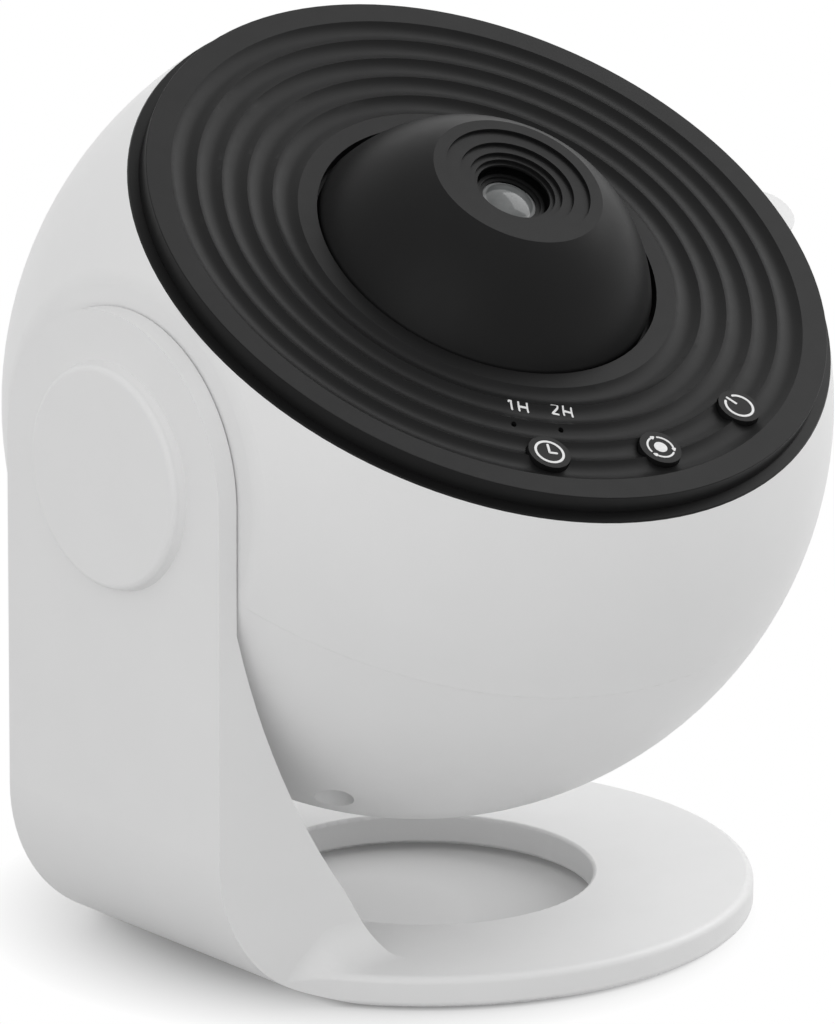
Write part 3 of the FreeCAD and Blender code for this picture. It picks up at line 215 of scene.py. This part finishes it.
def timer_icon():
    """Clock face with its hands at three."""
    hands = line_path((0, MINUTE_HAND_TOP), (0, HANDS_MEET), (HOUR_HAND_TIP, HANDS_MEET))
    return [stroke(arc_path(ICON_RADIUS, 0, 360), ICON_STROKE), stroke(hands, ICON_STROKE)]


def rotate_icon():
    """Round planet inside an orbit of three arcs, each with an arrowhead at its clockwise end: a
    straight stroke along the tangent whose width falls evenly to its tip."""
    parts = [stroke(line_path((-PLANET_RADIUS, 0), (PLANET_RADIUS, 0)), PLANET_RADIUS)]
    for head in ORBIT_HEADS:
        parts.append(stroke(arc_path(ORBIT_RADIUS, head, head + ORBIT_SWEEP), ORBIT_STROKE))
        at = math.radians(head)
        back = ORBIT_RADIUS * np.array([math.cos(at), math.sin(at)])
        tip = back + ARROW_LENGTH * np.array([math.sin(at), -math.cos(at)])
        path = line_path(tuple(back), tuple(tip))
        parts.append(stroke(path, np.linspace(ARROW_HALF, ARROW_TIP, len(path))))
    return parts


def power_icon():
    """Ring open at the top, with a bar through its gap."""
    return [stroke(arc_path(ICON_RADIUS, GAP_END, GAP_START + 360), ICON_STROKE),
            stroke(line_path((BAR_ACROSS, BAR_TOP), (BAR_ACROSS, BAR_FOOT)), ICON_STROKE)]


def figure_one(x):
    """Upright with a short flag."""
    path = line_path((x - FLAG_REACH, FLAG_LEVEL), (x, LETTER_RISE), (x, -LETTER_RISE))
    return [stroke(path, LETTER_STROKE)]


def figure_two(x):
    """Bow, slope down to the left and foot."""
    bow = arc_path(BOW_RADIUS, BOW_START, BOW_END, centre=(x, LETTER_RISE - BOW_RADIUS))
    foot = line_path(tuple(bow[-1]), (x - FOOT_LEFT, -LETTER_RISE), (x + FOOT_RIGHT, -LETTER_RISE))
    return [stroke(np.concatenate([bow[:-1], foot]), LETTER_STROKE)]


def letter_h(x):
    """Two uprights and a bar."""
    left, right = x - LETTER_REACH, x + LETTER_REACH
    lines = [((left, LETTER_RISE), (left, -LETTER_RISE)), ((left, 0), (right, 0)),
             ((right, LETTER_RISE), (right, -LETTER_RISE))]
    return [stroke(line_path(*ends), LETTER_STROKE) for ends in lines]


def add_printed_marks(ink):
    """Pictograms on the three buttons, and the two timer marks on the panel beside their lights."""
    icons = {"timer": timer_icon(), "rotate": rotate_icon(), "power": power_icon()}
    for key, angle in BUTTON_ANGLES.items():
        add_mark(key + "_mark", key + "_key", icons[key], ink, BUTTON_CIRCLE, angle, angle,
                 button_height)
    figures = {"one": figure_one, "two": figure_two}
    for hour, angle in HOUR_ANGLES.items():
        strokes = figures[hour](FIGURE_PLACES[hour]) + letter_h(LETTER_PLACES[hour])
        add_mark(hour + "_hour_mark", "head", strokes, ink, MARK_CIRCLE, angle, MARK_TURN,
                 panel_height, MARK_LEAN)


# ---- Shader nodes -------------------------------------------------------------------------------


def feed(tree, socket, value):
    """Give an input another node's output or a plain value; a colour is given as three numbers."""
    if isinstance(value, bpy.types.NodeSocket):
        tree.links.new(value, socket)
    elif socket.type == "RGBA":
        socket.default_value = (*value, 1)
    else:
        socket.default_value = value


def set_inputs(tree, node, **values):
    """Feed a node's inputs by name, with _ for a space."""
    for name, value in values.items():
        feed(tree, node.inputs[name.replace("_", " ")], value)


def new_node(tree, kind, *first, **named):
    """A shader node. First feeds its inputs in their order; what is named is one of the node's own
    settings or an input."""
    node = tree.nodes.new("ShaderNode" + kind)
    settings = {name: value for name, value in named.items() if hasattr(node, name)}
    for name, value in settings.items():
        setattr(node, name, value)
    set_inputs(tree, node, **{name: value for name, value in named.items() if name not in settings})
    for socket, value in zip(node.inputs, first):
        feed(tree, socket, value)
    return node


def compute(tree, operation, *values):
    """Result of a Math operation on plain numbers or other nodes' outputs."""
    return new_node(tree, "Math", *values, operation=operation).outputs[0]


def ramp(tree, value, start, end, low=0.0, high=1.0, curve="LINEAR"):
    """Low where the value is at start, changing to high at end, evenly or along a curve."""
    return new_node(tree, "MapRange", value, start, end, low, high,
                    interpolation_type=curve).outputs["Result"]


def tint(tree, share, dark, light):
    """A colour between two, by a share from nought to one."""
    mix = new_node(tree, "Mix", data_type="RGBA")
    factor = next(socket for socket in mix.inputs
                  if socket.name == "Factor" and socket.type == "VALUE")
    first, second = (socket for socket in mix.inputs if socket.type == "RGBA")
    for socket, value in ((factor, share), (first, dark), (second, light)):
        feed(tree, socket, value)
    return next(socket for socket in mix.outputs if socket.type == "RGBA")


def scaled(colour, share):
    """A colour made darker or lighter by a share."""
    return tuple(channel * share for channel in colour)


def object_place(tree):
    """Object coordinates, in metres."""
    return new_node(tree, "TexCoord").outputs["Object"]


def head_place(tree):
    """Object coordinates in the head's own millimetres, for patterns sized and centred there."""
    return new_node(tree, "Mapping", object_place(tree), vector_type="TEXTURE", Location=BALL * MM,
                    Rotation=(LEAN, 0, 0), Scale=(MM, MM, MM)).outputs["Vector"]


def axis_distance(tree, place):
    """Distance from the lens axis, in millimetres."""
    flat = new_node(tree, "VectorMath", place, (1, 1, 0), operation="MULTIPLY")
    return new_node(tree, "VectorMath", flat.outputs["Vector"],
                    operation="LENGTH").outputs["Value"]


def new_material(name):
    """A material, its node tree and its Principled BSDF."""
    material = bpy.data.materials.new(name)
    material.use_nodes = True
    tree = material.node_tree
    return material, tree, tree.nodes["Principled BSDF"]


# ---- Shared effects -----------------------------------------------------------------------------

# Weight of the fine noise over the pits, and the squeeze along x that draws noise out into lines
NOISE_WEIGHT = 0.6
LINE_SQUEEZE = 0.04
# Noise between these two values spreads over an effect's whole range
NOISE_LOW, NOISE_HIGH = 0.3, 0.7


def new_group(name, inputs, outputs):
    """An empty node group with float sockets, or vector ones where the name says Place."""
    group = bpy.data.node_groups.new(name, "ShaderNodeTree")
    for direction, names in (("INPUT", inputs), ("OUTPUT", outputs)):
        for socket in names:
            kind = "NodeSocketVector" if socket == "Place" else "NodeSocketFloat"
            group.interface.new_socket(socket, in_out=direction, socket_type=kind)
    return group, group.nodes.new("NodeGroupInput").outputs, group.nodes.new("NodeGroupOutput")


def build_grain():
    """Spark-eroded mould texture: fine noise times NOISE_WEIGHT, plus small round pits."""
    group, given, result = new_group("moulded_grain", ["Place", "Fineness"], ["Height"])
    noise = new_node(group, "TexNoise", given["Place"], Scale=given["Fineness"], Detail=2.0,
                     Roughness=0.6)
    pits = new_node(group, "TexVoronoi", given["Place"], Scale=given["Fineness"],
                    feature="SMOOTH_F1", Smoothness=0.6)
    set_inputs(group, result, Height=compute(group, "MULTIPLY_ADD", noise.outputs["Fac"],
                                             NOISE_WEIGHT, pits.outputs["Distance"]))
    return group


def build_unevenness():
    """Slow variation between a low and a high value."""
    group, given, result = new_group("soft_unevenness", ["Place", "Spread", "Low", "High"],
                                     ["Value"])
    noise = new_node(group, "TexNoise", given["Place"], Scale=given["Spread"], Detail=4.0,
                     Roughness=0.5)
    set_inputs(group, result, Value=ramp(group, noise.outputs["Fac"], NOISE_LOW, NOISE_HIGH,
                                         given["Low"], given["High"]))
    return group


def build_brushing():
    """Straight fine scratches along the head's x, as left by rolling or drawing metal."""
    group, given, result = new_group("drawn_lines", ["Place", "Fineness"], ["Height"])
    stretched = new_node(group, "VectorMath", given["Place"], (LINE_SQUEEZE, 1, 1),
                         operation="MULTIPLY")
    noise = new_node(group, "TexNoise", stretched.outputs["Vector"], Scale=given["Fineness"],
                     Detail=3.0, Roughness=0.7)
    set_inputs(group, result, Height=noise.outputs["Fac"])
    return group


GRAIN = build_grain()
UNEVENNESS = build_unevenness()
BRUSHING = build_brushing()


def effect(tree, group, place, **values):
    """A shared effect placed in a material, with its own values; returns its result."""
    return new_node(tree, "Group", node_tree=group, Place=place, **values).outputs[0]


def uneven(tree, place, spread, low=0.0, high=1.0):
    """Slow variation over a material, between nought and one unless its ends are given."""
    return effect(tree, UNEVENNESS, place, Spread=spread, Low=low, High=high)


def relief(tree, shader, height, depth, edge=None):
    """A texture's height as bumps of so many millimetres, over edges that the shading rounds by
    edge where it is given."""
    bump = new_node(tree, "Bump", Strength=1.0, Distance=depth * MM, Height=height)
    if edge:
        rounded = new_node(tree, "Bevel", samples=6, Radius=edge * MM)
        set_inputs(tree, bump, Normal=rounded.outputs["Normal"])
    set_inputs(tree, shader, Normal=bump.outputs["Normal"])


# ---- Materials ----------------------------------------------------------------------------------

# Colours, as linear red, green and blue
WHITE_MOULDING = (0.84, 0.84, 0.84)
BLACK_MOULDING = (0.0085, 0.0085, 0.0086)
WHITE_INK = (0.80, 0.80, 0.80)
ACETAL = (0.80, 0.79, 0.74)
RUBBER = (0.018, 0.018, 0.018)
ZINC = (0.62, 0.63, 0.64)
ALUMINIUM = (0.78, 0.79, 0.80)
FIBRE_DARK, FIBRE_PALE = (0.16, 0.045, 0.025), (0.46, 0.19, 0.11)
CLEAR_GLASS = (0.93, 0.96, 0.97)
# Front lens greys are painted light: the light pipe and rear lens seen through opaque glass
LENS_DARK, LENS_PALE, LENS_RIM = (0.105, 0.11, 0.11), (0.165, 0.17, 0.17), (0.32, 0.325, 0.325)
NIGHT, NIGHT_HAZE, STARLIGHT = (0.004, 0.006, 0.02), (0.014, 0.022, 0.065), (0.82, 0.85, 0.9)
MASK_DARK, MASK_GREEN = (0.008, 0.085, 0.030), (0.010, 0.100, 0.036)
TRACK_GREEN, TIN = (0.030, 0.230, 0.085), (0.55, 0.55, 0.52)
PHOSPHOR, DIODE_HOUSING = (0.85, 0.62, 0.10), (0.86, 0.86, 0.83)

# Gloss wanders this many times as quickly over a moulding as its shade
GLOSS_PACE = 5
# Metal: millimetres by which the shading rounds its edges; its darkest clouds, as a share of its
# colour; how closely clouds and gloss vary; its least and most roughness, as shares
METAL_EDGE = 0.08
METAL_SHADE = 0.86
METAL_SPREAD = 0.6
METAL_GLOSS_SPREAD = 3.0
METAL_DULLING = (0.75, 1.3)
# Front lens: its ground bevel starts and ends this far inside the opening, millimetres
LENS_BEVEL_START, LENS_BEVEL_END = 0.75, 0.35
GLASS_INDEX = 1.5
# Stars: cells to a millimetre, smallest and largest radius in cells
STARS = ((0.45, 0.03, 0.10), (1.1, 0.02, 0.09))
# Circuit board: tinned holes' cells to a millimetre and radius in cells
HOLE_SCALE, HOLE_RADIUS = 0.35, 0.13
# Diode: radii where its phosphor starts to give way to its housing and ends, millimetres
PHOSPHOR_START, PHOSPHOR_END = 1.9, 2.3


def plastic(name, colour, roughness, specular, fineness, depth, spread=0.08, shade=0.03,
            sheen_spread=0.03):
    """Moulded plastic: a slow change of shade and gloss under a fine grain. Fineness and spread
    are a pattern's cells to a millimetre, and depth is the grain's height in millimetres."""
    material, tree, shader = new_material(name)
    place = head_place(tree)
    set_inputs(tree, shader,
               Base_Color=tint(tree, uneven(tree, place, spread), scaled(colour, 1 - shade),
                               scaled(colour, 1 + shade)),
               Roughness=uneven(tree, place, spread * GLOSS_PACE, roughness - sheen_spread,
                                roughness + sheen_spread),
               Specular_IOR_Level=specular)
    relief(tree, shader, effect(tree, GRAIN, place, Fineness=fineness), depth)
    return material


def metal(name, colour, roughness, fineness, depth):
    """Plated or drawn metal: fine straight lines and slightly clouded brightness."""
    material, tree, shader = new_material(name)
    place = head_place(tree)
    least, most = METAL_DULLING
    set_inputs(tree, shader, Metallic=1.0,
               Base_Color=tint(tree, uneven(tree, place, METAL_SPREAD),
                               scaled(colour, METAL_SHADE), colour),
               Roughness=uneven(tree, place, METAL_GLOSS_SPREAD, roughness * least,
                                roughness * most))
    relief(tree, shader, effect(tree, BRUSHING, place, Fineness=fineness), depth, METAL_EDGE)
    return material


def fibre(name, fineness, depth):
    """Pressed fibre board: rust-red with darker strands."""
    material, tree, shader = new_material(name)
    place = head_place(tree)
    strands = effect(tree, BRUSHING, place, Fineness=fineness)
    set_inputs(tree, shader, Base_Color=tint(tree, strands, FIBRE_DARK, FIBRE_PALE),
               Roughness=0.85)
    relief(tree, shader, strands, depth)
    return material


def clear_glass(name):
    """Polished clear glass with a little dust in the reflection."""
    material, tree, shader = new_material(name)
    place = head_place(tree)
    set_inputs(tree, shader, Base_Color=CLEAR_GLASS, Transmission_Weight=1.0, IOR=GLASS_INDEX,
               Roughness=uneven(tree, place, spread=4.0, low=0.01, high=0.08))
    return material


def front_glass(name):
    """Front lens, drawn without transmission: its colour is painted light seen through the glass, pale
    from the white light pipe behind it, with soft painted clouds where the rear lens shows
    through, and lighter along its ground bevel."""
    material, tree, shader = new_material(name)
    place = head_place(tree)
    # Painted light from the light pipe behind the glass, clouded where the rear lens shows through
    body = tint(tree, uneven(tree, place, spread=0.35), LENS_DARK, LENS_PALE)
    bevel = ramp(tree, axis_distance(tree, place), LENS_OPENING - LENS_BEVEL_START,
                 LENS_OPENING - LENS_BEVEL_END, curve="SMOOTHSTEP")
    set_inputs(tree, shader, Base_Color=tint(tree, bevel, body, LENS_RIM), IOR=GLASS_INDEX,
               Roughness=uneven(tree, place, spread=2.5, low=0.05, high=0.14))
    return material


def star_print(name):
    """Printed film: night blue with clear round stars of several sizes, over a slow haze."""
    material, tree, shader = new_material(name)
    place = head_place(tree)
    sky = tint(tree, uneven(tree, place, spread=0.09), NIGHT, NIGHT_HAZE)
    for scale, smallest, largest in STARS:
        cells = new_node(tree, "TexVoronoi", place, Scale=scale)
        size = ramp(tree, cells.outputs["Color"], 0, 1, smallest, largest)
        inside = compute(tree, "LESS_THAN", cells.outputs["Distance"], size)
        sky = tint(tree, inside, sky, STARLIGHT)
    set_inputs(tree, shader, Base_Color=sky, Roughness=0.22)
    return material


def solder_mask(name):
    """Circuit board: green lacquer over a grid of paler tracks, with tinned holes."""
    material, tree, shader = new_material(name)
    place = head_place(tree)
    tracks = new_node(tree, "TexBrick", place, offset=0.37, Color1=MASK_DARK, Color2=MASK_GREEN,
                      Mortar=TRACK_GREEN, Scale=0.5, Mortar_Size=0.035, Brick_Width=1.9,
                      Row_Height=0.55)
    cells = new_node(tree, "TexVoronoi", place, Scale=HOLE_SCALE)
    hole = compute(tree, "LESS_THAN", cells.outputs["Distance"], HOLE_RADIUS)
    set_inputs(tree, shader, Base_Color=tint(tree, hole, tracks.outputs["Color"], TIN),
               Metallic=hole, Roughness=0.35)
    return material


def phosphor(name):
    """Diode: yellow phosphor under a clear dome, paler towards its white housing."""
    material, tree, shader = new_material(name)
    place = head_place(tree)
    rim = ramp(tree, axis_distance(tree, place), PHOSPHOR_START, PHOSPHOR_END,
               curve="SMOOTHSTEP")
    set_inputs(tree, shader, Base_Color=tint(tree, rim, PHOSPHOR, DIODE_HOUSING), Roughness=0.15,
               Coat_Weight=0.6)
    return material


def dress_nodes():
    """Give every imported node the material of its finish."""
    finish = {
        "white_plastic": plastic("white_satin", WHITE_MOULDING, roughness=0.42, specular=0.5,
                                 fineness=4.0, depth=0.004, shade=0.008),
        "black_plastic": plastic("black_satin", BLACK_MOULDING, roughness=0.40, specular=0.115,
                                 fineness=5.0, depth=0.003, shade=0.08, sheen_spread=0.015),
        "rubber": plastic("black_rubber", RUBBER, roughness=0.85, specular=0.3, fineness=3.0,
                          depth=0.02, shade=0.2),
        "steel": metal("zinc_plate", ZINC, roughness=0.32, fineness=5.0, depth=0.006),
        "fibre_washer": fibre("red_fibre", fineness=6.0, depth=0.04),
        "lens_glass": clear_glass("clear_glass"),
        "film": star_print("star_film_print"),
        "circuit_board": solder_mask("green_solder_mask"),
        "lamp_board_metal": metal("drawn_aluminium", ALUMINIUM, roughness=0.38, fineness=8.0,
                                  depth=0.008),
        "diode": phosphor("phosphor_dome"),
        "gear_plastic": plastic("natural_acetal", ACETAL, roughness=0.38, specular=0.5,
                                fineness=3.0, depth=0.004),
    }
    own = {"front_lens": front_glass("front_lens_glass")}
    for part in frame["record"]["subparts"]:
        node = frame["nodes"][part["node"]]
        node.data.materials.clear()
        node.data.materials.append(own.get(part["node"], finish[part["material_slot"]]))


# ---- Studio -------------------------------------------------------------------------------------

CAMERA_PLACE = (-1.09179, -1.28369, 0.58237)
CAMERA_AIM = (-0.00427638, -0.00382031, 0.06671352)
CAMERA_ROLL = math.radians(0.2158)
CAMERA_LENS = 395.4
SENSOR_WIDTH = 36
VIEW_DEPTH = 20

# Lamps: place, and power in watts
LAMP_SIZE = 1.2
LAMPS = {
    "key_light": ((1.25, -0.1, 1.1), 8.0),
    "back_light": ((1.0, 1.2, 0.41), 1.0),
    "left_light": ((-1.25, -0.75, 0.4), 3.0),
}
WORLD_FILL = 0.76

FLOOR_RADIUS = 6.0
FLOOR_SIDES = 96
FLOOR_LEVEL = -0.0001
FLOOR_SHADE = (0.6, 0.6, 0.6)
# The shadow fades to white between two distances from its centre. Close along the ring base's
# outer edge only CONTACT_SHARE of that fading is let through, except under the arm's bend.
SHADOW_CENTRE = (-0.008, 0.004, 0.0)
SHADOW_START, SHADOW_END = 0.030, 0.062
RING_CENTRE = (0.0005, 0.0, 0.0)
CONTACT_START, CONTACT_END = 0.0489, 0.0508
CONTACT_SHARE = 0.4
BEND_START, BEND_END = -0.036, -0.042
# The floor seen through the ring's hole is palest near the shadow's centre
HOLE_DARK, HOLE_PALE = 0.038, 0.016
HOLE_SHARE = 0.27


def aimed(place, target):
    """Placement at a place, looking at a target."""
    turned = (Vector(target) - Vector(place)).to_track_quat("-Z", "Y")
    return Matrix.Translation(place) @ turned.to_matrix().to_4x4()


def make_camera():
    """Long lens, level but for a slight roll, looking down at the head from the front left."""
    camera = add_object("camera", bpy.data.cameras.new("camera"))
    camera.data.lens = CAMERA_LENS
    camera.data.sensor_width = SENSOR_WIDTH
    camera.data.clip_end = VIEW_DEPTH
    camera.matrix_world = aimed(CAMERA_PLACE, CAMERA_AIM) @ Matrix.Rotation(CAMERA_ROLL, 4, "Z")
    bpy.context.scene.camera = camera


def make_lamps():
    """Square soft boxes turned to the ball's middle."""
    for name, (place, power) in LAMPS.items():
        light = bpy.data.lights.new(name, "AREA")
        light.shape = "SQUARE"
        light.size = LAMP_SIZE
        light.energy = power
        add_object(name, light).matrix_world = aimed(place, BALL * MM)


def seen_rays(tree):
    """One for rays from the camera, a reflection or glass, nought for those that light things."""
    path = new_node(tree, "LightPath").outputs
    seen = compute(tree, "MAXIMUM", path["Is Camera Ray"], path["Is Glossy Ray"])
    return compute(tree, "MAXIMUM", seen, path["Is Transmission Ray"])


def make_world():
    """Even white surroundings: white to the camera and in reflections, softer on surfaces."""
    world = bpy.data.worlds.new("studio")
    bpy.context.scene.world = world
    world.use_nodes = True
    tree = world.node_tree
    set_inputs(tree, tree.nodes["Background"], Color=(1, 1, 1),
               Strength=ramp(tree, seen_rays(tree), 0, 1, WORLD_FILL, 1.0))


def floor_distance(tree, centre):
    """Distance from a centre on the floor."""
    return new_node(tree, "VectorMath", object_place(tree), centre,
                    operation="DISTANCE").outputs["Value"]


def whiteness(tree):
    """Share of plain white in the floor: it rises away from the shadow's centre, less so along
    the ring base's outer edge, and a little inside the ring's hole."""
    reach = floor_distance(tree, SHADOW_CENTRE)
    contact = ramp(tree, floor_distance(tree, RING_CENTRE), CONTACT_START, CONTACT_END,
                   CONTACT_SHARE)
    across = new_node(tree, "SeparateXYZ", object_place(tree)).outputs["X"]
    contact = compute(tree, "MAXIMUM", contact, ramp(tree, across, BEND_START, BEND_END))
    outside = compute(tree, "MULTIPLY", ramp(tree, reach, SHADOW_START, SHADOW_END), contact)
    return compute(tree, "MULTIPLY_ADD", ramp(tree, reach, HOLE_DARK, HOLE_PALE), HOLE_SHARE,
                   outside)


def make_floor():
    """Round table top just under the feet: it keeps the object's shadow close by, deepest along
    the edges of the ring base, and turns white further away."""
    turn = np.linspace(0, 2 * math.pi, FLOOR_SIDES, endpoint=False)
    rim = np.stack([FLOOR_RADIUS * np.cos(turn), FLOOR_RADIUS * np.sin(turn),
                    np.full(FLOOR_SIDES, FLOOR_LEVEL)], axis=-1)
    mesh = bpy.data.meshes.new("table_top")
    mesh.from_pydata(rim.tolist(), [], [list(range(FLOOR_SIDES))])
    material, tree, shader = new_material("white_table")
    set_inputs(tree, shader, Base_Color=FLOOR_SHADE, Roughness=0.9, Specular_IOR_Level=0.0)
    share = compute(tree, "MULTIPLY", whiteness(tree), seen_rays(tree))
    mix = new_node(tree, "MixShader", share, shader.outputs[0],
                   new_node(tree, "Emission").outputs[0])
    set_inputs(tree, tree.nodes["Material Output"], Surface=mix.outputs[0])
    mesh.materials.append(material)
    add_object("table_top", mesh)


bpy.context.scene.view_settings.view_transform = "Standard"
make_camera()
make_world()
make_floor()
make_lamps()
dress_nodes()
add_printed_marks(plastic("white_ink", WHITE_INK, roughness=0.5, specular=0.4, fineness=6.0,
                          depth=0.004, spread=1.5, shade=0.05))
